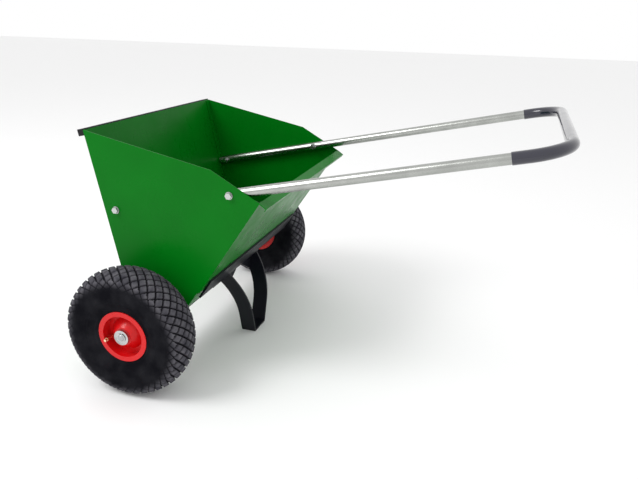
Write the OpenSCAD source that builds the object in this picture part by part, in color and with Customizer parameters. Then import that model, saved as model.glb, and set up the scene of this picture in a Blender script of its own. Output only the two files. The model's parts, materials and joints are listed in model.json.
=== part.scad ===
// Walk-behind hand spreader: a sheet steel hopper on two air-filled wheels, with a tube
// handle behind it and a stand leg under it. Millimetres. The origin is on the ground,
// below the middle of the axle. +X points back to the handle, +Z up, and the left side
// of a person pushing it is at -Y.

/* [Wheels] */
// Outside diameter of the tyre
wheel_d = 300; // [280:1:320]
// Width of the tyre at its sidewalls
tyre_w = 95; // [85:1:100]
// Distance between the middle planes of the two wheels
track = 750; // [730:1:800]
// Diameter of the rim flanges
rim_d = 120; // [118:1:126]
// Distance of each rim flange's outer face from the middle plane of the wheel
rim_half_w = 36.4; // [34:0.1:38]
// Length of the hub tube
hub_l = 81; // [78:1:84]
// Outside diameter of the hub tube
hub_d = 35; // [35:0.5:37]

/* [Hopper] */
// Outside width of the hopper
hopper_w = 586; // [500:1:600]
// Thickness of the hopper's sheet steel
sheet = 2; // [1.5:0.1:2.5]
// Height of the front top edge
front_z = 576; // [540:1:600]
// Forward reach of the front top edge from the axle
front_reach = 139; // [120:1:150]
// Lean of the front wall from upright, in degrees
front_lean = 11.9; // [10:0.1:14]
// Place of the corner in the side plates' top edge, back from the axle
corner_x = 169; // [150:1:190]
// Height of the corner in the side plates' top edge
corner_z = 515; // [500:1:530]
// Place of the rear top edge, back from the axle
rear_reach = 280; // [270:1:290]
// Height of the rear top edge
rear_z = 454; // [440:1:470]
// Lean of the rear wall from upright, in degrees
rear_lean = 33.5; // [32:0.1:35]
// Width of the rim folded out at the top of the rear wall
rear_rim_w = 18.5; // [14:0.5:24]
// Depth of the lip folded down at the edge of that rim
rear_lip_h = 8; // [5:0.5:12]
// Height of the flat part of the floor
floor_z = 114; // [112:1:118]
// Slope of the floor behind the outlets, in degrees
floor_slope = 44; // [42:0.5:46]
// Height at which the sloping floor turns into the rear wall
floor_turn_z = 184; // [180:1:190]
// Height of the lower edge of the rear wall's sheet
rear_wall_z = 225; // [220:1:235]
// Number of outlets in the floor
outlets = 6; // [4:1:6]
// Distance from one outlet to the next
outlet_pitch = 92; // [80:1:92]
// Size of each outlet across the hopper
outlet_w = 24; // [16:1:24]
// Size of each outlet from front to back
outlet_l = 20; // [12:1:22]

/* [Handle] */
// Outside diameter of the handle tube
tube_d = 22; // [20:1:25]
// Wall thickness of the handle tube
tube_wall = 2; // [1.5:0.1:3]
// Place of the front bolt, back from the axle
bolt_x = -72; // [-74:1:-68]
// Height of the front bolt
bolt_z = 400; // [390:1:410]
// Distance between the two bolts of one side
bolt_pitch = 290; // [270:1:300]
// Rise of the handle towards its grip, in degrees
handle_rise = 12.8; // [8:0.1:16]
// Distance from the front bolt to the cross part of the handle
handle_l = 965; // [800:5:1100]
// Radius of the two bends, at the middle of the tube
bend_r = 75; // [60:1:100]
// Outside diameter of the grip sleeve
grip_d = 25; // [24:0.5:34]
// Distance from the front bolt to the left end of the grip sleeve
grip_left_s = 859; // [700:1:880]
// Distance from the front bolt to the right end of the grip sleeve
grip_right_s = 876; // [700:1:880]

/* [Stand] */
// Width of the leg's strap, from front to back
strap_w = 40; // [36:1:46]
// Thickness of the leg's strap
strap_t = 5; // [4:0.5:6]
// Place of the back edge of the foot, back from the axle
foot_back_x = 152; // [145:1:160]
// Half width of the foot at the ground
foot_half_w = 33; // [30:1:40]
// Lean of each arm outwards, in degrees
arm_splay = 17.2; // [14:0.1:20]
// Radius of the bow at the back edge of the arms
bow_r = 202; // [190:1:215]
// Height at which the bow starts
bow_z = 58; // [50:1:66]
// Length of the flat bar across the rear wall
bar_l = 544; // [480:1:560]
// Width of the flat bar
bar_w = 56; // [50:1:60]
// Thickness of the flat bar
bar_t = 5; // [4:0.5:6]
// Side of the square tube along the front top edge
rail_w = 15; // [12:1:18]

/* [Axle and stirrer] */
// Diameter of the axle between the wheels
axle_d = 20; // [18:1:20]
// Diameter of the axle inside the wheels
journal_d = 15; // [15:1:15]
// Length of the stirring fingers, tip to tip
finger_l = 60; // [50:1:62]
// Diameter of the stirring fingers
finger_d = 6; // [5:0.5:7]
// Number of stirring fingers
fingers = 12; // [6:1:12]

/* [Shutter] */
// Width of the shutter slide, from front to back
slide_w = 42; // [40:1:42]
// Thickness of the shutter slide
slide_t = 3; // [2:0.5:3]
// Travel of the shutter slide from shut to open
slide_travel = 26; // [26:1:30]

/* [Hidden] */
$fn = 96;
axle_z = wheel_d / 2;
half_w = hopper_w / 2;
inner_w = half_w - sheet;
wheel_y = track / 2;
running = 0.05;
skin_gap = 0.3;
big = 2000;

// Lines of the hopper seen from the side
function front_x(z, inset = 0) = -front_reach + tan(front_lean) * (front_z - z) + inset / cos(front_lean);
function rear_x(z, inset = 0) = rear_reach - tan(rear_lean) * (rear_z - z) - inset / cos(rear_lean);
wall_up = [sin(rear_lean), cos(rear_lean)];
wall_out = [cos(rear_lean), -sin(rear_lean)];
step_inset = 4.5;
turn = [rear_x(floor_turn_z, step_inset), floor_turn_z];
flat_end = [turn.x - (floor_turn_z - floor_z) / tan(floor_slope), floor_z];
floor_front = [front_x(floor_z, sheet), floor_z];
front_up = [-sin(front_lean), cos(front_lean)];
rear_top = [rear_reach, rear_z];
front_flange_w = 16;
// Set-back of a welded flange from the edge that it meets
weld_gap = 0.1;
fold_h = 22;

// Axle bearings in the side plates
bush_d = 26;
housing_bolt_x = 32;
housing_t = 4;
housing_boss = 12;
collar_w = 12;
collar_d = 32;

// Wheel details, measured outwards from the middle plane of the wheel
rim_t = 2;
seat_r = 50.8;
dish_u = 12;
dish_r = 38;
collar_r = 22;
collar_u = 33;
hub_half = hub_l / 2;
bearing_d = 32;
bearing_w = 9;
ball_d = 4.76;
ball_circle_d = 23.5;
balls = 9;
valve_r = 43;
valve_u = 18;
valve_tip_u = 43;
valve_angle = 198;
carcass_r = 97;
cavity_r = 40;
shoulder = shoulder_step();
function shoulder_step() = tyre_w / 2 - 1;
axle_end_u = 43;

// Shutter details
slide_mid_x = -6;
stud_y = 92;
stud_d = 6;
slide_top = floor_z - skin_gap;
slide_low = slide_top - slide_t;
slide_end_y = half_w - slide_travel - 5;
slide_tab_y = -half_w - 27;

// Fasteners
m8_d = 8;
m8_head = 13;
m8_head_h = 5.3;
m8_washer_d = 17;
washer_t = 1.6;
m6_d = 6;
m6_head = 10;
m6_head_h = 4;

// Outline of a bent sheet: the path and its copy at distance t on the path's left side
function unit(v) = v / norm(v);
function left_of(v) = [-v.y, v.x];
function path_normal(p, i) = left_of(unit(p[i + 1] - p[i]));
function mitre(p, i) =
    i == 0 ? path_normal(p, 0)
    : i == len(p) - 1 ? path_normal(p, i - 1)
    : (path_normal(p, i - 1) + path_normal(p, i)) / (1 + path_normal(p, i - 1) * path_normal(p, i));
function bent(p, t) = concat(p, [for (i = [len(p) - 1:-1:0]) p[i] + t * mitre(p, i)]);

// An outline in the X-Z plane, extruded from y0 to y1
module side_outline(points, y0, y1) {
    translate([0, y1, 0]) rotate([90, 0, 0]) linear_extrude(height = y1 - y0) polygon(points);
}

// An outline in the Y-Z plane, extruded from x0 to x1
module end_outline(points, x0, x1) {
    translate([x0, 0, 0]) rotate([90, 0, 90]) linear_extrude(height = x1 - x0) polygon(points);
}

// A round bar along Y
module y_bar(d, y0, y1, x = 0, z = 0) {
    translate([x, y0, z]) rotate([-90, 0, 0]) cylinder(d = d, h = y1 - y0);
}

// A tube along Y
module y_tube(d, bore, y0, y1, x = 0, z = 0) {
    difference() {
        y_bar(d, y0, y1, x, z);
        y_bar(bore, y0 - 1, y1 + 1, x, z);
    }
}

// A hexagonal bar along Y, across flats af
module y_hex(af, y0, y1, x = 0, z = 0) {
    translate([x, y0, z]) rotate([-90, 0, 0]) cylinder(d = af / cos(30), h = y1 - y0, $fn = 6);
}

// Children made for the right side at +Y, put on either side
module on_side(side) {
    if (side < 0) mirror([0, 1, 0]) children();
    else children();
}

// Hopper

plate_outline = [
    [front_x(front_z, sheet), front_z],
    floor_front,
    flat_end,
    turn,
    [rear_x(rear_wall_z, step_inset), rear_wall_z],
    [rear_x(rear_wall_z, sheet), rear_wall_z],
    rear_top - sheet * wall_out - sheet * wall_up,
    rear_top - sheet * wall_out,
    [corner_x, corner_z]
];

module side_plate() {
    flange_y = inner_w - front_flange_w;
    low = floor_z + fold_h + 3;
    difference() {
        union() {
            side_outline(plate_outline, inner_w, half_w);
            side_outline([
                [front_x(front_z - 2, sheet + weld_gap), front_z - 2],
                [front_x(low, sheet + weld_gap), low],
                [front_x(low, 2 * sheet), low],
                [front_x(front_z - 2, 2 * sheet), front_z - 2]
            ], flange_y, inner_w);
            side_outline([
                rear_top - (sheet + weld_gap) * wall_out - 3 * wall_up,
                [rear_x(rear_wall_z + 36, sheet + weld_gap), rear_wall_z + 36],
                [rear_x(rear_wall_z + 36, 2 * sheet), rear_wall_z + 36],
                rear_top - 2 * sheet * wall_out - 3 * wall_up
            ], flange_y, inner_w);
        }
        y_bar(bush_d, inner_w - 1, half_w + 1, 0, axle_z);
        for (x = [-housing_bolt_x, housing_bolt_x])
            y_bar(m6_d + 0.6, inner_w - 1, half_w + 1, x, axle_z);
        for (p = handle_bolt_places)
            y_bar(m8_d + 0.4, inner_w - 1, half_w + 1, p.x, p.y);
    }
}

module left_side_plate() { color([0.02, 0.42, 0.09]) on_side(-1) side_plate(); }
module right_side_plate() { color([0.02, 0.42, 0.09]) side_plate(); }

module front_wall() {
    color([0.02, 0.42, 0.09])
        side_outline([
            [front_x(front_z), front_z],
            [front_x(floor_z), floor_z],
            floor_front,
            [front_x(front_z, sheet), front_z]
        ], -half_w, half_w);
}

module rear_wall() {
    top = rear_top - sheet * wall_up;
    rim_end = top + (rear_rim_w - sheet) * wall_out;
    color([0.02, 0.42, 0.09])
        side_outline(bent([
            [rear_x(rear_wall_z), rear_wall_z],
            top,
            rim_end,
            rim_end - (rear_lip_h - sheet) * wall_up
        ], sheet), -half_w, half_w);
}

module hopper_floor() {
    color([0.02, 0.40, 0.09])
        difference() {
            side_outline(bent([
                floor_front + fold_h * front_up,
                floor_front,
                flat_end,
                turn,
                [rear_x(rear_wall_z + 1, step_inset), rear_wall_z + 1],
                [rear_x(rear_wall_z + 6, sheet), rear_wall_z + 6],
                [rear_x(rear_wall_z + 32, sheet), rear_wall_z + 32]
            ], sheet), -inner_w, inner_w);
            for (i = [0:outlets - 1])
                translate([slide_mid_x, outlet_y(i), floor_z + sheet / 2])
                    cube([outlet_l, outlet_w, 4 * sheet], center = true);
        }
}

function outlet_y(i) = (i - (outlets - 1) / 2) * outlet_pitch;

rail_corner = [front_x(front_z - 12), front_z - 12];

module rail_section(y0, y1, size) {
    inset = (rail_w - size) / 2;
    a = rail_corner + inset * front_up - inset * left_of(-front_up);
    side_outline([
        a,
        a + size * front_up,
        a + size * front_up - size * left_of(-front_up),
        a - size * left_of(-front_up)
    ], y0, y1);
}

module front_rail() {
    color([0.03, 0.03, 0.035])
        difference() {
            rail_section(-half_w, half_w, rail_w);
            rail_section(-half_w - 1, half_w + 1, rail_w - 3);
        }
}

module front_rail_plugs() {
    color([0.02, 0.02, 0.02])
        for (side = [-1, 1])
            on_side(side) rail_section(half_w - 10, half_w, rail_w - 3);
}

// Bar and stand leg

bar_top = rear_top - 243 * wall_up;

module cross_bar() {
    color([0.05, 0.06, 0.08])
        side_outline([
            bar_top,
            bar_top - bar_w * wall_up,
            bar_top - bar_w * wall_up + bar_t * wall_out,
            bar_top + bar_t * wall_out
        ], -bar_l / 2, bar_l / 2);
}

saddle_path = [
    turn - 42 * [cos(floor_slope), sin(floor_slope)],
    turn,
    turn + 34 * wall_up
];
saddle_half_w = 112;

module stand_saddle() {
    color([0.03, 0.03, 0.035])
        side_outline(bent(saddle_path, -step_inset), -saddle_half_w, saddle_half_w);
}

// Space below the saddle, where the leg may reach
module below_saddle() {
    low = turn + step_inset * mitre([saddle_path[0], turn, saddle_path[2]], 1) * -1;
    side_outline([
        low - 200 * [cos(floor_slope), sin(floor_slope)],
        low,
        low + 60 * wall_up,
        [400, low.y + 60 * wall_up.y],
        [400, -1],
        [-200, -1]
    ], -200, 200);
}

bow_x = foot_back_x - bow_r;

module strap_band(y0, y1) {
    translate([foot_back_x - strap_w, y0, 0]) cube([strap_w, y1 - y0, bow_z]);
    intersection() {
        y_tube(2 * bow_r, 2 * (bow_r - strap_w), y0, y1, bow_x, bow_z);
        translate([0, y0 - 1, bow_z]) cube([foot_back_x + 1, y1 - y0 + 2, bow_r]);
    }
}

module stand_leg() {
    arm_top = 215;
    shift = tan(arm_splay);
    skin = strap_t / cos(arm_splay);
    color([0.03, 0.03, 0.035]) {
        intersection() {
            strap_band(-150, 150);
            below_saddle();
            union() {
                end_outline([
                    [-foot_half_w, 0],
                    [foot_half_w, 0],
                    [foot_half_w + shift * strap_t, strap_t],
                    [-foot_half_w - shift * strap_t, strap_t]
                ], 0, 200);
                for (side = [-1, 1])
                    on_side(side) end_outline([
                        [foot_half_w - skin, 0],
                        [foot_half_w, 0],
                        [foot_half_w + shift * arm_top, arm_top],
                        [foot_half_w + shift * arm_top - skin, arm_top]
                    ], 0, 200);
            }
        }
    }
}

module stand_gussets() {
    gusset_x = 87;
    gusset_t = 4;
    shift = tan(arm_splay);
    skin = strap_t / cos(arm_splay);
    function arm_inside(z) = foot_half_w - skin + shift * z;
    color([0.03, 0.03, 0.035])
        for (side = [-1, 1])
            on_side(side) intersection() {
                end_outline([
                    [arm_inside(140), 140],
                    [18, 172],
                    [18, 180],
                    [arm_inside(180), 180]
                ], gusset_x, gusset_x + gusset_t);
                below_saddle();
            }
}

// Handle

handle_dir = [cos(handle_rise), sin(handle_rise)];
bolt_front = [bolt_x, bolt_z];
handle_bolt_places = [bolt_front, bolt_front + bolt_pitch * handle_dir];
tube_y = inner_w - tube_d / 2;
tube_start = -22;

// Children drawn with X along the handle from its front bolt, Y across and Z square to it
module on_handle() {
    translate([bolt_x, 0, bolt_z]) rotate([0, -handle_rise, 0]) children();
}

// A straight or bent length of tube, hollow where bore is above 0
module tube_leg(d, bore, s0, s1) {
    translate([s0, tube_y, 0]) rotate([0, 90, 0])
        difference() {
            cylinder(d = d, h = s1 - s0);
            translate([0, 0, -1]) cylinder(d = bore, h = s1 - s0 + 2);
        }
}

module tube_bend(d, bore) {
    translate([handle_l - bend_r, tube_y - bend_r, 0])
        rotate_extrude(angle = 90)
            translate([bend_r, 0]) difference() {
                circle(d = d);
                circle(d = bore);
            }
}

module tube_cross(d, bore) {
    half = tube_y - bend_r;
    y_tube(d, bore, -half, half, handle_l, 0);
}

module handle_tube() {
    bore = tube_d - 2 * tube_wall;
    color([0.78, 0.80, 0.80])
        difference() {
            on_handle() union() {
                for (side = [-1, 1])
                    on_side(side) {
                        tube_leg(tube_d, bore, tube_start, handle_l - bend_r);
                        tube_bend(tube_d, bore);
                    }
                tube_cross(tube_d, bore);
            }
            for (p = handle_bolt_places)
                y_bar(m8_d + 0.4, -half_w, half_w, p.x, p.y);
        }
}

module grip_sleeve() {
    color([0.04, 0.04, 0.10])
        on_handle() union() {
            tube_leg(grip_d, tube_d, grip_right_s, handle_l - bend_r);
            tube_bend(grip_d, tube_d);
            mirror([0, 1, 0]) tube_leg(grip_d, tube_d, grip_left_s, handle_l - bend_r);
            mirror([0, 1, 0]) tube_bend(grip_d, tube_d);
            tube_cross(grip_d, tube_d);
        }
}

nut_face_y = inner_w - tube_d - washer_t;

module each_handle_bolt() {
    for (side = [-1, 1])
        on_side(side) for (p = handle_bolt_places)
            translate([p.x, 0, p.y]) children();
}

module handle_bolts() {
    color([0.80, 0.81, 0.82])
        each_handle_bolt() {
            y_hex(m8_head, half_w + washer_t, half_w + washer_t + m8_head_h);
            y_bar(m8_d, nut_face_y - 9, half_w + washer_t + 1);
        }
}

module handle_nuts() {
    color([0.75, 0.76, 0.78])
        each_handle_bolt() difference() {
            y_hex(m8_head, nut_face_y - 6.5, nut_face_y);
            y_bar(m8_d, nut_face_y - 8, nut_face_y + 1);
        }
}

module handle_washers() {
    color([0.82, 0.83, 0.84])
        each_handle_bolt() {
            y_tube(m8_washer_d, m8_d + 0.4, half_w, half_w + washer_t);
            y_tube(m8_washer_d, m8_d + 0.4, nut_face_y, nut_face_y + washer_t);
        }
}

// Axle bearings in the side plates

module axle_housing() {
    difference() {
        union() {
            y_bar(46, half_w, half_w + housing_t, 0, axle_z);
            y_bar(34, half_w, half_w + housing_boss, 0, axle_z);
            for (x = [-housing_bolt_x, housing_bolt_x])
                y_bar(18, half_w, half_w + housing_t, x, axle_z);
            translate([-housing_bolt_x, half_w, axle_z - 9])
                cube([2 * housing_bolt_x, housing_t, 18]);
        }
        y_bar(bush_d, half_w - 1, half_w + housing_boss + 1, 0, axle_z);
        for (x = [-housing_bolt_x, housing_bolt_x])
            y_bar(m6_d + 0.6, half_w - 1, half_w + housing_t + 1, x, axle_z);
    }
}

module left_axle_housing() { color([0.10, 0.10, 0.11]) on_side(-1) axle_housing(); }
module right_axle_housing() { color([0.10, 0.10, 0.11]) axle_housing(); }

module axle_bushes() {
    color([0.62, 0.48, 0.25])
        for (side = [-1, 1])
            on_side(side) difference() {
                union() {
                    y_bar(bush_d, inner_w - 1, half_w + housing_boss + 1, 0, axle_z);
                    y_bar(bush_d + 6, inner_w - sheet, inner_w, 0, axle_z);
                }
                y_bar(axle_d + 2 * running, inner_w - 5, half_w + housing_boss + 2, 0, axle_z);
            }
}

module housing_bolts() {
    color([0.78, 0.79, 0.80])
        for (side = [-1, 1])
            on_side(side) for (x = [-housing_bolt_x, housing_bolt_x]) {
                y_hex(m6_head, half_w + housing_t, half_w + housing_t + m6_head_h, x, axle_z);
                y_bar(m6_d, inner_w - 7, half_w + housing_t + 1, x, axle_z);
                difference() {
                    y_hex(m6_head, inner_w - 5, inner_w, x, axle_z);
                    y_bar(m6_d, inner_w - 6, inner_w + 1, x, axle_z);
                }
            }
}

// Shutter

module shutter_slide() {
    color([0.70, 0.72, 0.74]) {
        difference() {
            translate([slide_mid_x - slide_w / 2, slide_tab_y, slide_low])
                cube([slide_w, slide_end_y - slide_tab_y, slide_t]);
            for (i = [0:outlets - 1])
                translate([slide_mid_x, outlet_y(i) - slide_travel, slide_low])
                    cube([outlet_l, outlet_w, 4 * slide_t], center = true);
            for (y = [-stud_y, stud_y]) {
                slot_w = stud_d + 1;
                translate([slide_mid_x - slot_w / 2, y - slide_travel, slide_low - 1])
                    cube([slot_w, slide_travel, slide_t + 2]);
                for (shift = [0, slide_travel])
                    translate([slide_mid_x, y - shift, slide_low - 1])
                        cylinder(d = slot_w, h = slide_t + 2);
            }
        }
        translate([slide_mid_x - 14, slide_tab_y, slide_low - 18])
            cube([28, slide_t, 18]);
    }
}

module shutter_guides() {
    lip_t = 2;
    lip_z = slide_low - skin_gap - lip_t;
    over = 4;
    length = 2 * inner_w - 20;
    edge = slide_w / 2 + skin_gap;
    color([0.10, 0.10, 0.11])
        for (side = [-1, 1])
            translate([slide_mid_x, 0, 0]) {
                x0 = side < 0 ? -edge - 8 : edge;
                translate([x0, -length / 2, lip_z])
                    cube([side < 0 ? 8 : 4.5, length, floor_z - lip_z]);
                translate([side < 0 ? x0 : edge - over, -length / 2, lip_z])
                    cube([side < 0 ? 8 + over : 4.5 + over, length, lip_t]);
            }
}

washer_low = slide_low - skin_gap - washer_t;

module each_stud() {
    for (y = [-stud_y, stud_y])
        translate([slide_mid_x, y, 0]) children();
}

module shutter_studs() {
    color([0.78, 0.79, 0.80])
        each_stud() {
            translate([0, 0, washer_low - 14]) cylinder(d = stud_d, h = floor_z - washer_low + 14);
        }
}

module shutter_washers() {
    color([0.80, 0.81, 0.82])
        each_stud() translate([0, 0, washer_low]) difference() {
            cylinder(d = 18, h = washer_t);
            translate([0, 0, -1]) cylinder(d = stud_d + 0.4, h = washer_t + 2);
        }
}

module wing_nut(y) {
    low = washer_low - skin_gap - 8;
    color([0.76, 0.77, 0.79])
        translate([slide_mid_x, y, low]) difference() {
            union() {
                cylinder(d = 11, h = 8);
                for (turned = [0, 180])
                    rotate([0, 0, turned]) translate([4, -1.25, -4]) cube([9.5, 2.5, 9]);
            }
            translate([0, 0, -5]) cylinder(d = stud_d + 2 * running, h = 20);
        }
}

module left_wing_nut() { wing_nut(-stud_y); }
module right_wing_nut() { wing_nut(stud_y); }

// Axle and stirrer

shoulder_y = wheel_y - hub_half + 0.3;
axle_end_y = wheel_y + axle_end_u;
function finger_y(i) = (i - (fingers - 1) / 2) * 46;

module axle() {
    color([0.55, 0.56, 0.57])
        difference() {
            union() {
                y_bar(axle_d, -shoulder_y, shoulder_y, 0, axle_z);
                y_bar(journal_d, -axle_end_y + 1, axle_end_y - 1, 0, axle_z);
                for (side = [-1, 1])
                    on_side(side) translate([0, axle_end_y - 1, axle_z]) rotate([-90, 0, 0])
                        cylinder(d1 = journal_d, d2 = journal_d - 2, h = 1);
            }
            for (i = [0:fingers - 1]) finger(i, axle_d + 2);
            drive_pin_shape(axle_d + 2);
        }
}

module finger(i, length) {
    translate([0, finger_y(i), axle_z]) rotate([0, i % 2 * 90, 0])
        cylinder(d = finger_d, h = length, center = true);
}

module stirring_fingers() {
    color([0.50, 0.51, 0.52])
        for (i = [0:fingers - 1]) finger(i, finger_l);
}

module axle_collars() {
    color([0.45, 0.46, 0.47])
        for (side = [-1, 1])
            on_side(side) difference() {
                y_tube(collar_d, axle_d, inner_w - sheet - 0.5 - collar_w, inner_w - sheet - 0.5, 0, axle_z);
                collar_screw(side, collar_d);
            }
}

module collar_screw(side, reach) {
    translate([0, inner_w - sheet - 0.5 - collar_w / 2, axle_z + axle_d / 2])
        cylinder(d = m6_d, h = reach);
}

module collar_screws() {
    color([0.10, 0.10, 0.11])
        for (side = [-1, 1])
            on_side(side) collar_screw(side, (collar_d - axle_d) / 2);
}

// Wheels

// Children drawn about their own Z axis, which becomes the wheel's outward axis
module on_wheel(side) {
    translate([0, side * wheel_y, axle_z]) rotate([-side * 90, 0, 0]) children();
}

module tyre_section() {
    difference() {
        union() {
            translate([carcass_r, 0]) circle(r = tyre_w / 2);
            intersection() {
                translate([wheel_d / 2 - 80, 0]) circle(r = 80);
                polygon([[105, -45], [124, -46.5], [139, -41], [152, -38],
                    [152, 38], [139, 41], [124, 46.5], [105, 45]]);
            }
            polygon([[51, -34.3], [60.4, -34.3], [64, -37.5], [71, -38.5], [80, -30],
                [80, 30], [71, 38.5], [64, 37.5], [60.4, 34.3], [51, 34.3]]);
        }
        translate([carcass_r, 0]) circle(r = cavity_r);
        translate([40, -22]) square([35, 44]);
        translate([40, -50]) square([11, 100]);
    }
}

module tyre(side) {
    color([0.06, 0.06, 0.065]) on_wheel(side) rotate_extrude() tyre_section();
}

module inner_tube(side) {
    color([0.04, 0.04, 0.045])
        on_wheel(side) rotate_extrude() translate([carcass_r - 0.5, 0]) difference() {
            circle(r = cavity_r - 1);
            circle(r = cavity_r - 3);
        }
}

rim_red = [0.75, 0.03, 0.03];

module valve_hole(side) {
    rotate([0, 0, -side * valve_angle]) translate([seat_r - 8, 0, valve_u]) rotate([0, 90, 0])
        cylinder(d = 7.4, h = 12);
}

module rim_outer(side) {
    color(rim_red)
        on_wheel(side) difference() {
            rotate_extrude() polygon(bent([
                [hub_d / 2, collar_u - 2],
                [collar_r - 2, collar_u - 2],
                [dish_r, dish_u],
                [seat_r, dish_u],
                [seat_r, rim_half_w - rim_t],
                [rim_d / 2, rim_half_w - rim_t]
            ], rim_t));
            valve_hole(side);
        }
}

module rim_inner(side) {
    color(rim_red)
        on_wheel(side) rotate_extrude() polygon(bent([
            [rim_d / 2, rim_t - rim_half_w],
            [seat_r, rim_t - rim_half_w],
            [seat_r, dish_u]
        ], rim_t));
}

module rim_disc(side) {
    color(rim_red)
        on_wheel(side) rotate_extrude() polygon(bent([
            [seat_r - rim_t, -16],
            [seat_r - rim_t, -26],
            [30, -22],
            [hub_d / 2 + 1, -30],
            [hub_d / 2, -30]
        ], -rim_t));
}

module hub_tube(side) {
    color([0.76, 0.77, 0.78])
        on_wheel(side) rotate_extrude()
            difference() {
                translate([bearing_d / 2 - 2, -hub_half]) square([hub_d / 2 - bearing_d / 2 + 2, hub_l]);
                for (end = [-1, 1])
                    translate([0, end * (hub_half - bearing_w / 2 - 0.5) - bearing_w / 2 - 0.5])
                        square([bearing_d / 2, bearing_w + 1]);
            }
}

bearing_u = hub_half - 0.5 - bearing_w / 2;

module ball_groove() {
    translate([ball_circle_d / 2, 0]) circle(d = ball_d + 0.16);
}

module left_bearing_outer_rings() {
    color([0.80, 0.81, 0.82])
        on_wheel(-1) for (u = [-bearing_u, bearing_u])
            translate([0, 0, u]) rotate_extrude() difference() {
                union() {
                    translate([13.6, -bearing_w / 2]) square([bearing_d / 2 - 13.6, bearing_w]);
                    for (z = [-bearing_w / 2 + 0.4, bearing_w / 2 - 0.9])
                        translate([10, z]) square([4, 0.5]);
                }
                ball_groove();
            }
}

module left_bearing_balls() {
    color([0.85, 0.85, 0.86])
        on_wheel(-1) for (u = [-bearing_u, bearing_u], i = [0:balls - 1])
            rotate([0, 0, i * 360 / balls]) translate([ball_circle_d / 2, 0, u])
                sphere(d = ball_d, $fn = 32);
}

module left_bearing_inner_rings() {
    color([0.80, 0.81, 0.82])
        on_wheel(-1) for (u = [-bearing_u, bearing_u])
            translate([0, 0, u]) rotate_extrude() difference() {
                translate([journal_d / 2, -bearing_w / 2]) square([9.6 - journal_d / 2, bearing_w]);
                ball_groove();
            }
}

module left_bearing_spacer() {
    color([0.60, 0.61, 0.62])
        on_wheel(-1) rotate_extrude()
            translate([journal_d / 2, -bearing_u + bearing_w / 2])
                square([2, 2 * bearing_u - bearing_w]);
}

module axle_circlips() {
    color([0.70, 0.71, 0.73])
        for (side = [-1, 1])
            on_wheel(side) translate([0, 0, bearing_u + bearing_w / 2 + 0.55]) difference() {
                cylinder(d = 20.5, h = 1);
                translate([0, 0, -1]) cylinder(d = journal_d, h = 3);
                translate([-2, 0, -1]) cube([4, 20, 3]);
            }
}

module valve_stem(side) {
    color([0.80, 0.66, 0.45])
        on_wheel(side) rotate([0, 0, -side * valve_angle]) {
            translate([valve_r, 0, valve_u]) rotate([0, 90, 0]) cylinder(d = 7, h = 16);
            translate([valve_r, 0, valve_u]) sphere(d = 7.7);
            translate([valve_r, 0, valve_u]) cylinder(d = 7.7, h = valve_tip_u - valve_u - 6);
            translate([valve_r, 0, valve_tip_u - 6]) cylinder(d = 6.2, h = 6);
        }
}

module drive_pin_shape(length) {
    translate([0, wheel_y - hub_half + 12, axle_z]) cylinder(d = 6, h = length, center = true);
}

module right_hub_sleeve() {
    color([0.55, 0.56, 0.57])
        difference() {
            on_wheel(1) rotate_extrude()
                translate([journal_d / 2, -hub_half + 0.5])
                    square([bearing_d / 2 - journal_d / 2 - 2, hub_l - 1]);
            drive_pin_shape(80);
        }
}

module right_drive_pin() {
    color([0.65, 0.66, 0.68]) drive_pin_shape(hub_d - 1);
}

module left_tyre() { tyre(-1); }
module right_tyre() { tyre(1); }
module left_inner_tube() { inner_tube(-1); }
module right_inner_tube() { inner_tube(1); }
module left_rim_outer() { rim_outer(-1); }
module right_rim_outer() { rim_outer(1); }
module left_rim_inner() { rim_inner(-1); }
module right_rim_inner() { rim_inner(1); }
module left_rim_disc() { rim_disc(-1); }
module right_rim_disc() { rim_disc(1); }
module left_hub_tube() { hub_tube(-1); }
module right_hub_tube() {
    difference() {
        hub_tube(1);
        drive_pin_shape(80);
    }
}
module left_valve_stem() { valve_stem(-1); }
module right_valve_stem() { valve_stem(1); }

left_side_plate();
right_side_plate();
front_wall();
rear_wall();
hopper_floor();
front_rail();
front_rail_plugs();
cross_bar();
stand_leg();
stand_gussets();
stand_saddle();
handle_tube();
grip_sleeve();
handle_bolts();
handle_nuts();
handle_washers();
left_axle_housing();
right_axle_housing();
axle_bushes();
housing_bolts();
shutter_slide();
shutter_guides();
shutter_studs();
shutter_washers();
left_wing_nut();
right_wing_nut();
axle();
stirring_fingers();
axle_collars();
collar_screws();
left_bearing_inner_rings();
left_bearing_spacer();
axle_circlips();
left_tyre();
left_inner_tube();
left_rim_outer();
left_rim_inner();
left_rim_disc();
left_hub_tube();
left_bearing_outer_rings();
left_bearing_balls();
left_valve_stem();
right_tyre();
right_inner_tube();
right_rim_outer();
right_rim_inner();
right_rim_disc();
right_hub_tube();
right_hub_sleeve();
right_drive_pin();
right_valve_stem();
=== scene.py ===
"""Dresses the hand spreader: coated sheet steel, air-filled tyres, tube handle and studio."""
import json
import math

import bmesh
import bpy
import numpy as np
from mathutils import Matrix, Vector


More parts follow.
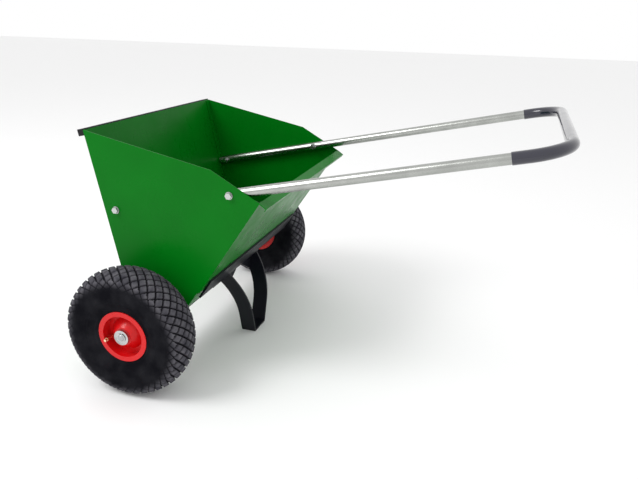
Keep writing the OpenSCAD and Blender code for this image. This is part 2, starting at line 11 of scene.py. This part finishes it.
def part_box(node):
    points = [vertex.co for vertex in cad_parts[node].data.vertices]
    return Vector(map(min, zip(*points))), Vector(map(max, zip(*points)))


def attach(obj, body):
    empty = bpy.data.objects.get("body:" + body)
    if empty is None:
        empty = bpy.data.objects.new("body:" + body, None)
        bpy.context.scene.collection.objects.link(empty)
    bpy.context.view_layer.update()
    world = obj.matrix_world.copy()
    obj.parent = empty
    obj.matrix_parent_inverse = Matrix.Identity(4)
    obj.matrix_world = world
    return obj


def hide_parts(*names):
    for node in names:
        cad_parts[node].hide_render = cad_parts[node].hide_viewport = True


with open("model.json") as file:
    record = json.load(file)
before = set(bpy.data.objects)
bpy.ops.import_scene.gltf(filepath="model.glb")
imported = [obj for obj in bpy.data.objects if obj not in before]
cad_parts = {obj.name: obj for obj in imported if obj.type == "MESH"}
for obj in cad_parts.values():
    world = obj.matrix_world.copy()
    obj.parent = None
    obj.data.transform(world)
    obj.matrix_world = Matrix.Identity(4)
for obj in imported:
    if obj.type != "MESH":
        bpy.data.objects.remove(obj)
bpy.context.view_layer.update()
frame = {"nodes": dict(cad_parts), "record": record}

bl_info = {
    "name": "Hand Spreader",
    "version": (1, 0, 0),
    "blender": (4, 5, 0),
    "location": "3D View > Sidebar > Spreader",
    "description": "Finishes for a walk-behind hopper spreader",
    "category": "Add Mesh",
}

MM = 0.001


class SpreaderFinish(bpy.types.PropertyGroup):
    green: bpy.props.FloatVectorProperty(name="Hopper green", description="Powder coat of the hopper",
                                         subtype="COLOR", size=3, default=(0.0, 0.150, 0.006))
    red: bpy.props.FloatVectorProperty(name="Rim red", description="Powder coat of the rims",
                                       subtype="COLOR", size=3, default=(0.62, 0.004, 0.006))
    black: bpy.props.FloatVectorProperty(name="Frame black", description="Coat of the bar, rail and leg",
                                         subtype="COLOR", size=3, default=(0.006, 0.007, 0.011))
    grip: bpy.props.FloatVectorProperty(name="Grip navy", description="Sleeve on the handle",
                                        subtype="COLOR", size=3, default=(0.008, 0.008, 0.022))


class TyreSizes(bpy.types.PropertyGroup):
    blocks_round: bpy.props.IntProperty(name="Blocks round", description="Tread blocks around one tyre",
                                        default=40, min=30, max=80)
    block_width: bpy.props.FloatProperty(name="Block width", description="Width of one tread block",
                                         default=0.0235, unit="LENGTH")
    groove_width: bpy.props.FloatProperty(name="Groove width", description="Width of the grooves",
                                          default=0.0033, unit="LENGTH")
    groove_depth: bpy.props.FloatProperty(name="Groove depth", description="Depth of the grooves",
                                          default=0.0050, unit="LENGTH")


class StudioSizes(bpy.types.PropertyGroup):
    lens: bpy.props.FloatProperty(name="Lens", description="Focal length in millimetres", default=34.64)
    camera_place: bpy.props.FloatVectorProperty(name="Camera", description="Place of the camera",
                                                subtype="XYZ", size=3, default=(0.7634, -1.4203, 0.8231))
    azimuth: bpy.props.FloatProperty(name="Azimuth", description="Turn of the camera in degrees",
                                     default=17.37)
    elevation: bpy.props.FloatProperty(name="Elevation", description="Height angle in degrees", default=20.05)
    roll: bpy.props.FloatProperty(name="Roll", description="Tilt of the camera in degrees", default=1.39)
    world: bpy.props.FloatProperty(name="Sky", description="Strength of the soft light", default=0.95)


class Finish:
    """A node material being built, with short calls for the nodes that finishes share."""

    def __init__(self, name, base, roughness, metallic=0.0, coat=0.0, shine=0.5):
        self.material = bpy.data.materials.new(name)
        self.material.use_nodes = True
        self.nodes = self.material.node_tree.nodes
        self.links = self.material.node_tree.links
        self.shader = self.nodes["Principled BSDF"]
        self.place = self.nodes.new("ShaderNodeTexCoord").outputs["Object"]
        self.set("Base Color", (*base, 1.0))
        self.set("Roughness", roughness)
        self.set("Metallic", metallic)
        self.set("Coat Weight", coat)
        self.set("Specular IOR Level", shine)

    def set(self, socket, value):
        self.shader.inputs[socket].default_value = value

    def noise(self, scale, detail=3.0, stretch=(1, 1, 1)):
        mapping = self.nodes.new("ShaderNodeMapping")
        mapping.inputs["Scale"].default_value = stretch
        self.links.new(self.place, mapping.inputs["Vector"])
        node = self.nodes.new("ShaderNodeTexNoise")
        node.inputs["Scale"].default_value = scale
        node.inputs["Detail"].default_value = detail
        self.links.new(mapping.outputs["Vector"], node.inputs["Vector"])
        return node.outputs["Fac"]

    def spread(self, value, low, high, out_low, out_high):
        node = self.nodes.new("ShaderNodeMapRange")
        ends = {"From Min": low, "From Max": high, "To Min": out_low, "To Max": out_high}
        for socket, number in ends.items():
            node.inputs[socket].default_value = number
        self.links.new(value, node.inputs["Value"])
        return node.outputs["Result"]

    def mix(self, factor, first, second):
        node = self.nodes.new("ShaderNodeMix")
        node.data_type = "RGBA"
        self.links.new(factor, node.inputs["Factor"])
        for socket, colour in (("A", first), ("B", second)):
            target = [s for s in node.inputs if s.name == socket and s.type == "RGBA"][0]
            if isinstance(colour, bpy.types.NodeSocket):
                self.links.new(colour, target)
            else:
                target.default_value = (*colour, 1.0)
        return [s for s in node.outputs if s.type == "RGBA"][0]

    def drive(self, socket, value):
        self.links.new(value, self.shader.inputs[socket])

    def bump(self, height, strength, distance):
        node = self.nodes.new("ShaderNodeBump")
        node.inputs["Strength"].default_value = strength
        node.inputs["Distance"].default_value = distance
        self.links.new(height, node.inputs["Height"])
        self.drive("Normal", node.outputs["Normal"])


def shade(colour, factor):
    """A darker or paler form of a colour."""
    return tuple(min(1.0, c * factor) for c in colour)


def powder_coat(name, colour, roughness, coat, shine=0.3):
    """A sprayed coat: faint orange peel, with slightly uneven colour and gloss."""
    finish = Finish(name, colour, roughness, coat=coat, shine=shine)
    finish.set("Coat Roughness", 0.06)
    finish.drive("Base Color", finish.mix(finish.spread(finish.noise(7.0), 0.35, 0.65, 0.0, 1.0),
                                          shade(colour, 0.94), shade(colour, 1.05)))
    finish.drive("Roughness", finish.spread(finish.noise(22.0), 0.3, 0.7, roughness * 0.8, roughness * 1.25))
    finish.bump(finish.noise(420.0, 2.0), 0.025, 0.0003)
    return finish.material


def drawn_metal(name, colour, roughness, stretch, scale=300.0):
    """Bare metal with fine lines along its length and a mottled gloss."""
    finish = Finish(name, colour, roughness, metallic=1.0)
    lines = finish.noise(scale, 3.0, stretch)
    finish.drive("Base Color", finish.mix(finish.spread(finish.noise(30.0), 0.35, 0.65, 0.0, 1.0),
                                          shade(colour, 0.90), shade(colour, 1.06)))
    finish.drive("Roughness", finish.spread(lines, 0.3, 0.7, roughness * 0.8, roughness * 1.3))
    finish.bump(lines, 0.05, 0.0003)
    return finish.material


def rubber(name, colour, roughness, grain):
    """Moulded rubber with a fine grain."""
    finish = Finish(name, colour, roughness, shine=0.2)
    finish.drive("Base Color", finish.mix(finish.spread(finish.noise(18.0), 0.35, 0.65, 0.0, 1.0),
                                          shade(colour, 0.8), shade(colour, 1.3)))
    finish.bump(finish.noise(grain, 3.0), 0.15, 0.0004)
    return finish.material


def tread_rubber():
    """Tyre rubber: pale dust on the block tops, black in the grooves, faint rings on the sidewall."""
    finish = Finish("tyre_rubber", (0.012, 0.012, 0.015), 0.85, shine=0.03)
    attribute = finish.nodes.new("ShaderNodeAttribute")
    attribute.attribute_name = "block_top"
    wall = finish.mix(finish.spread(finish.noise(26.0), 0.35, 0.7, 0.0, 1.0),
                      (0.005, 0.005, 0.007), (0.015, 0.015, 0.018))
    dust = finish.mix(finish.spread(finish.noise(55.0), 0.3, 0.7, 0.0, 1.0),
                      (0.045, 0.044, 0.054), (0.120, 0.116, 0.130))
    finish.drive("Base Color", finish.mix(attribute.outputs["Fac"], wall, dust))
    finish.bump(finish.noise(700.0, 3.0), 0.25, 0.0005)
    return finish.material


def finishes():
    """Every finish of the spreader by its material slot."""
    look = bpy.context.scene.spreader_finish
    return {
        "green_powder_coat": powder_coat("green_powder_coat", tuple(look.green), 0.30, 0.0, 0.10),
        "red_powder_coat": powder_coat("red_powder_coat", tuple(look.red), 0.30, 0.1),
        "black_powder_coat": powder_coat("black_powder_coat", tuple(look.black), 0.36, 0.0, 0.2),
        "black_plastic": rubber("black_plastic", (0.008, 0.008, 0.009), 0.5, 500.0),
        "tyre_rubber": tread_rubber(),
        "tube_rubber": rubber("tube_rubber", (0.01, 0.01, 0.011), 0.6, 600.0),
        "grip_rubber": powder_coat("grip_rubber", tuple(look.grip), 0.22, 0.8, 0.5),
        "bright_tube": drawn_metal("bright_tube", (0.42, 0.43, 0.41), 0.24, (1, 20, 20), 60.0),
        "zinc_steel": drawn_metal("zinc_steel", (0.52, 0.53, 0.53), 0.26, (1, 1, 1)),
        "plain_steel": drawn_metal("plain_steel", (0.42, 0.43, 0.44), 0.34, (1, 8, 1)),
        "bronze": drawn_metal("bronze", (0.55, 0.38, 0.16), 0.32, (1, 1, 1)),
        "valve_brass": drawn_metal("valve_brass", (0.86, 0.70, 0.46), 0.22, (1, 1, 1)),
    }


BEVELS = {
    "green_powder_coat": 0.7 * MM,
    "red_powder_coat": 0.9 * MM,
    "black_powder_coat": 0.8 * MM,
    "zinc_steel": 0.3 * MM,
    "plain_steel": 0.3 * MM,
}


class SPREADER_OT_metal(bpy.types.Operator):
    """Gives every solid its finish and its softened edges"""
    bl_idname = "spreader.metal"
    bl_label = "Finish the solids"

    def execute(self, context):
        looks = finishes()
        slots = {part["node"]: part["material_slot"] for part in frame["record"]["subparts"]}
        for name, piece in frame["nodes"].items():
            slot = slots[name]
            piece.data.materials.clear()
            piece.data.materials.append(looks[slot])
            width = BEVELS.get(slot)
            if width:
                bevel = piece.modifiers.new("soft_edges", "BEVEL")
                bevel.width = width
                bevel.segments = 2
                bevel.limit_method = "ANGLE"
                bevel.angle_limit = math.radians(32)
                bevel.harden_normals = True
                bevel.use_clamp_overlap = True
        return {"FINISHED"}


# Outline of a tyre from its bead to its shoulder: distance from the axle and from the middle plane
TYRE_SIDE = [(51.2, 34.2), (55.0, 34.2), (60.5, 34.3), (63.0, 36.2), (66.0, 37.9), (70.5, 38.4), (74.0, 40.4),
             (80.0, 43.4), (88.0, 46.0), (97.0, 47.3), (106.0, 47.4), (116.0, 46.9), (125.0, 45.9),
             (132.0, 44.1), (137.0, 41.8)]
CROWN_R = 80.0
CROWN_CENTRE = 70.0
CROWN_HALF = 39.6
CAVITY_R = 41.0
CAVITY_CENTRE = 97.0
CAVITY_OPEN = 22.0
# Radii between which the pattern grows from the sidewall to its full depth
PATTERN_START = 117.0
PATTERN_RISE = 18.0
# Radius of the shoulder, below which the pattern runs on down the sidewall
SHOULDER = 138.0
# Share of the groove's half width at which its wall starts, and the width of that wall
GROOVE_EDGE = 0.85
GROOVE_WALL = 0.55
# How fast the dust on the blocks fades towards the sidewall
DUST_FADE = 1.6
# Keeps the sidewall just inside the solid
SIDE_FIT = 0.997
SIDE_STEPS = 72
# Raised rings on the sidewall: radius and height
RINGS = [(67.0, 0.7), (84.0, 0.6), (90.0, 0.5), (114.0, 0.4)]
RING_WIDTH = 1.1
CROWN_STEPS = 64
ROUND_STEPS = 900


def tyre_outline():
    """The closed section of a tyre, as rows of radius, side distance and depth of pattern."""
    side = np.array(TYRE_SIDE)
    along = np.concatenate([[0], np.cumsum(np.hypot(*np.diff(side, axis=0).T))])
    even = np.linspace(0, along[-1], SIDE_STEPS)
    right = np.stack([np.interp(even, along, side[:, k]) for k in (0, 1)], 1)
    for _ in range(2):
        right[1:-1] = 0.25 * right[:-2] + 0.5 * right[1:-1] + 0.25 * right[2:]
    for radius, height in RINGS:
        right[:, 1] += height * np.exp(-((right[:, 0] - radius) / RING_WIDTH) ** 2)
    across = np.linspace(CROWN_HALF, -CROWN_HALF, CROWN_STEPS)
    crown = np.stack([CROWN_CENTRE + np.sqrt(CROWN_R ** 2 - across ** 2), across], 1)
    outer = np.concatenate([right, crown, right[::-1] * (1, -1)])
    turn = np.linspace(-1, 1, 25) * (math.pi - math.asin(CAVITY_OPEN / CAVITY_R))
    inner = np.stack([CAVITY_CENTRE + CAVITY_R * np.cos(turn), CAVITY_R * np.sin(turn)], 1)
    feet = np.array([[51.2, -CAVITY_OPEN]]), np.array([[51.2, CAVITY_OPEN]])
    section = np.concatenate([outer, feet[0], inner, feet[1]])
    depth = np.zeros(len(section))
    radius = outer[:, 0]
    depth[:len(outer)] = np.clip((radius - PATTERN_START) / PATTERN_RISE, 0, 1)
    return section, depth


def build_tyre(side):
    """One tyre with rhombic tread blocks, closed all round."""
    sizes = bpy.context.scene.tyre_sizes
    node = ("left_tyre", "right_tyre")[side > 0]
    section, depth = tyre_outline()
    turns = np.linspace(0, 2 * math.pi, ROUND_STEPS, endpoint=False)
    across = section[:, 1] * MM
    over_shoulder = np.sign(across) * np.maximum(0, SHOULDER - section[:, 0]) * MM * (depth > 0)
    flat = across + over_shoulder
    lanes = flat / sizes.block_width
    rows = turns * sizes.blocks_round / (2 * math.pi)
    first = rows[:, None] + lanes[None, :]
    second = rows[:, None] - lanes[None, :]
    reach = sizes.block_width / math.sqrt(2) / sizes.groove_width
    line = np.minimum(np.abs(first - np.round(first)), np.abs(second - np.round(second))) * 2 * reach
    top = np.clip((line - GROOVE_EDGE) / GROOVE_WALL, 0, 1)
    sink = (1 - top) * depth[None, :] * sizes.groove_depth
    radius = section[None, :, 0] * MM - sink
    low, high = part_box(node)
    middle = (Vector(low) + Vector(high)) / 2
    points = np.stack([middle.x + radius * np.cos(turns)[:, None],
                       middle.y + np.broadcast_to(across, radius.shape) * SIDE_FIT,
                       middle.z + radius * np.sin(turns)[:, None]], -1).reshape(-1, 3)
    count = len(section)
    a = np.arange(ROUND_STEPS)[:, None] * count + np.arange(count)[None, :]
    b = np.roll(a, -1, axis=1)
    faces = np.stack([a, b, np.roll(b, -1, axis=0), np.roll(a, -1, axis=0)], -1).reshape(-1, 4)
    mesh = bpy.data.meshes.new(node + "_tread")
    mesh.from_pydata(points.tolist(), [], faces.tolist())
    attribute = mesh.attributes.new("block_top", "FLOAT", "POINT")
    pale = top * (depth ** DUST_FADE)[None, :]
    attribute.data.foreach_set("value", pale.reshape(-1).astype(np.float32))
    shell = bmesh.new()
    shell.from_mesh(mesh)
    bmesh.ops.recalc_face_normals(shell, faces=shell.faces)
    shell.to_mesh(mesh)
    shell.free()
    mesh.shade_smooth()
    mesh.materials.append(frame["nodes"][node].data.materials[0])
    tyre = bpy.data.objects.new(node + "_tread", mesh)
    bpy.context.collection.objects.link(tyre)
    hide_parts(node)
    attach(tyre, ("left_wheel", "drive_axle")[side > 0])


class SPREADER_OT_tyres(bpy.types.Operator):
    """Builds both tyres with their block tread"""
    bl_idname = "spreader.tyres"
    bl_label = "Build the tyres"

    def execute(self, context):
        for side in (-1, 1):
            build_tyre(side)
        return {"FINISHED"}


def stage_plane(name, size, place, tilt, colour):
    """A large plane that belongs to the studio."""
    bpy.ops.mesh.primitive_plane_add(size=size, location=place, rotation=tilt)
    plane = bpy.context.object
    plane.name = name
    material = bpy.data.materials.new(name)
    material.use_nodes = True
    shader = material.node_tree.nodes["Principled BSDF"]
    shader.inputs["Base Color"].default_value = (*colour, 1)
    shader.inputs["Roughness"].default_value = 0.9
    plane.data.materials.append(material)


def area_lamp(name, place, size, power):
    """A soft square lamp aimed at the hopper."""
    lamp = bpy.data.lights.new(name, "AREA")
    lamp.size = size
    lamp.energy = power
    piece = bpy.data.objects.new(name, lamp)
    piece.location = place
    piece.rotation_euler = (Vector((0.2, 0, 0.3)) - Vector(place)).to_track_quat("-Z", "Y").to_euler()
    bpy.context.collection.objects.link(piece)


class SPREADER_OT_studio(bpy.types.Operator):
    """Sets the floor, the soft light and the camera"""
    bl_idname = "spreader.studio"
    bl_label = "Set the studio"

    def execute(self, context):
        scene = context.scene
        sizes = scene.studio_sizes
        stage_plane("floor", 30.0, (0, 0, 0), (0, 0, 0), (0.93, 0.93, 0.93))
        world = scene.world or bpy.data.worlds.new("sky")
        scene.world = world
        world.use_nodes = True
        nodes, links = world.node_tree.nodes, world.node_tree.links
        soft = nodes["Background"]
        soft.inputs["Color"].default_value = (1, 1, 1, 1)
        soft.inputs["Strength"].default_value = sizes.world
        white = nodes.new("ShaderNodeBackground")
        white.inputs["Color"].default_value = (1, 1, 1, 1)
        white.inputs["Strength"].default_value = 1.0
        ray = nodes.new("ShaderNodeLightPath")
        either = nodes.new("ShaderNodeMath")
        either.operation = "MAXIMUM"
        mixed = nodes.new("ShaderNodeMixShader")
        links.new(ray.outputs["Is Camera Ray"], either.inputs[0])
        links.new(ray.outputs["Is Glossy Ray"], either.inputs[1])
        links.new(either.outputs["Value"], mixed.inputs["Fac"])
        links.new(soft.outputs["Background"], mixed.inputs[1])
        links.new(white.outputs["Background"], mixed.inputs[2])
        links.new(mixed.outputs["Shader"], nodes["World Output"].inputs["Surface"])
        area_lamp("key", (-1.6, -1.8, 3.0), 1.6, 60.0)
        camera = bpy.data.cameras.new("camera")
        camera.lens = sizes.lens
        camera.sensor_width = 36.0
        eye = bpy.data.objects.new("camera", camera)
        scene.collection.objects.link(eye)
        turn, rise, roll = (math.radians(v) for v in (sizes.azimuth, sizes.elevation, sizes.roll))
        ahead = Vector((-math.sin(turn) * math.cos(rise), math.cos(turn) * math.cos(rise), -math.sin(rise)))
        right = ahead.cross(Vector((0, 0, 1))).normalized()
        up = right.cross(ahead)
        side = math.cos(roll) * right + math.sin(roll) * up
        top = -math.sin(roll) * right + math.cos(roll) * up
        basis = Matrix((side, top, -ahead)).transposed().to_4x4()
        basis.translation = Vector(sizes.camera_place)
        eye.matrix_world = basis
        scene.camera = eye
        scene.view_settings.view_transform = "Standard"
        return {"FINISHED"}


STEPS = (SPREADER_OT_metal, SPREADER_OT_tyres, SPREADER_OT_studio)


class SPREADER_PT_panel(bpy.types.Panel):
    """Lists the steps in the sidebar"""
    bl_label = "Hand Spreader"
    bl_space_type = "VIEW_3D"
    bl_region_type = "UI"
    bl_category = "Spreader"

    def draw(self, context):
        for step in STEPS:
            self.layout.operator(step.bl_idname)
        for group in ("spreader_finish", "tyre_sizes", "studio_sizes"):
            values = getattr(context.scene, group)
            for key in values.__annotations__:
                self.layout.prop(values, key)


GROUPS = {"spreader_finish": SpreaderFinish, "tyre_sizes": TyreSizes, "studio_sizes": StudioSizes}


def register():
    for cls in (*GROUPS.values(), *STEPS, SPREADER_PT_panel):
        bpy.utils.register_class(cls)
    for key, group in GROUPS.items():
        setattr(bpy.types.Scene, key, bpy.props.PointerProperty(type=group))


def unregister():
    for key in GROUPS:
        delattr(bpy.types.Scene, key)
    for cls in reversed((*GROUPS.values(), *STEPS, SPREADER_PT_panel)):
        bpy.utils.unregister_class(cls)


def main():
    register()
    bpy.ops.spreader.metal()
    bpy.ops.spreader.tyres()
    bpy.ops.spreader.studio()


if __name__ == "__main__":
    main()
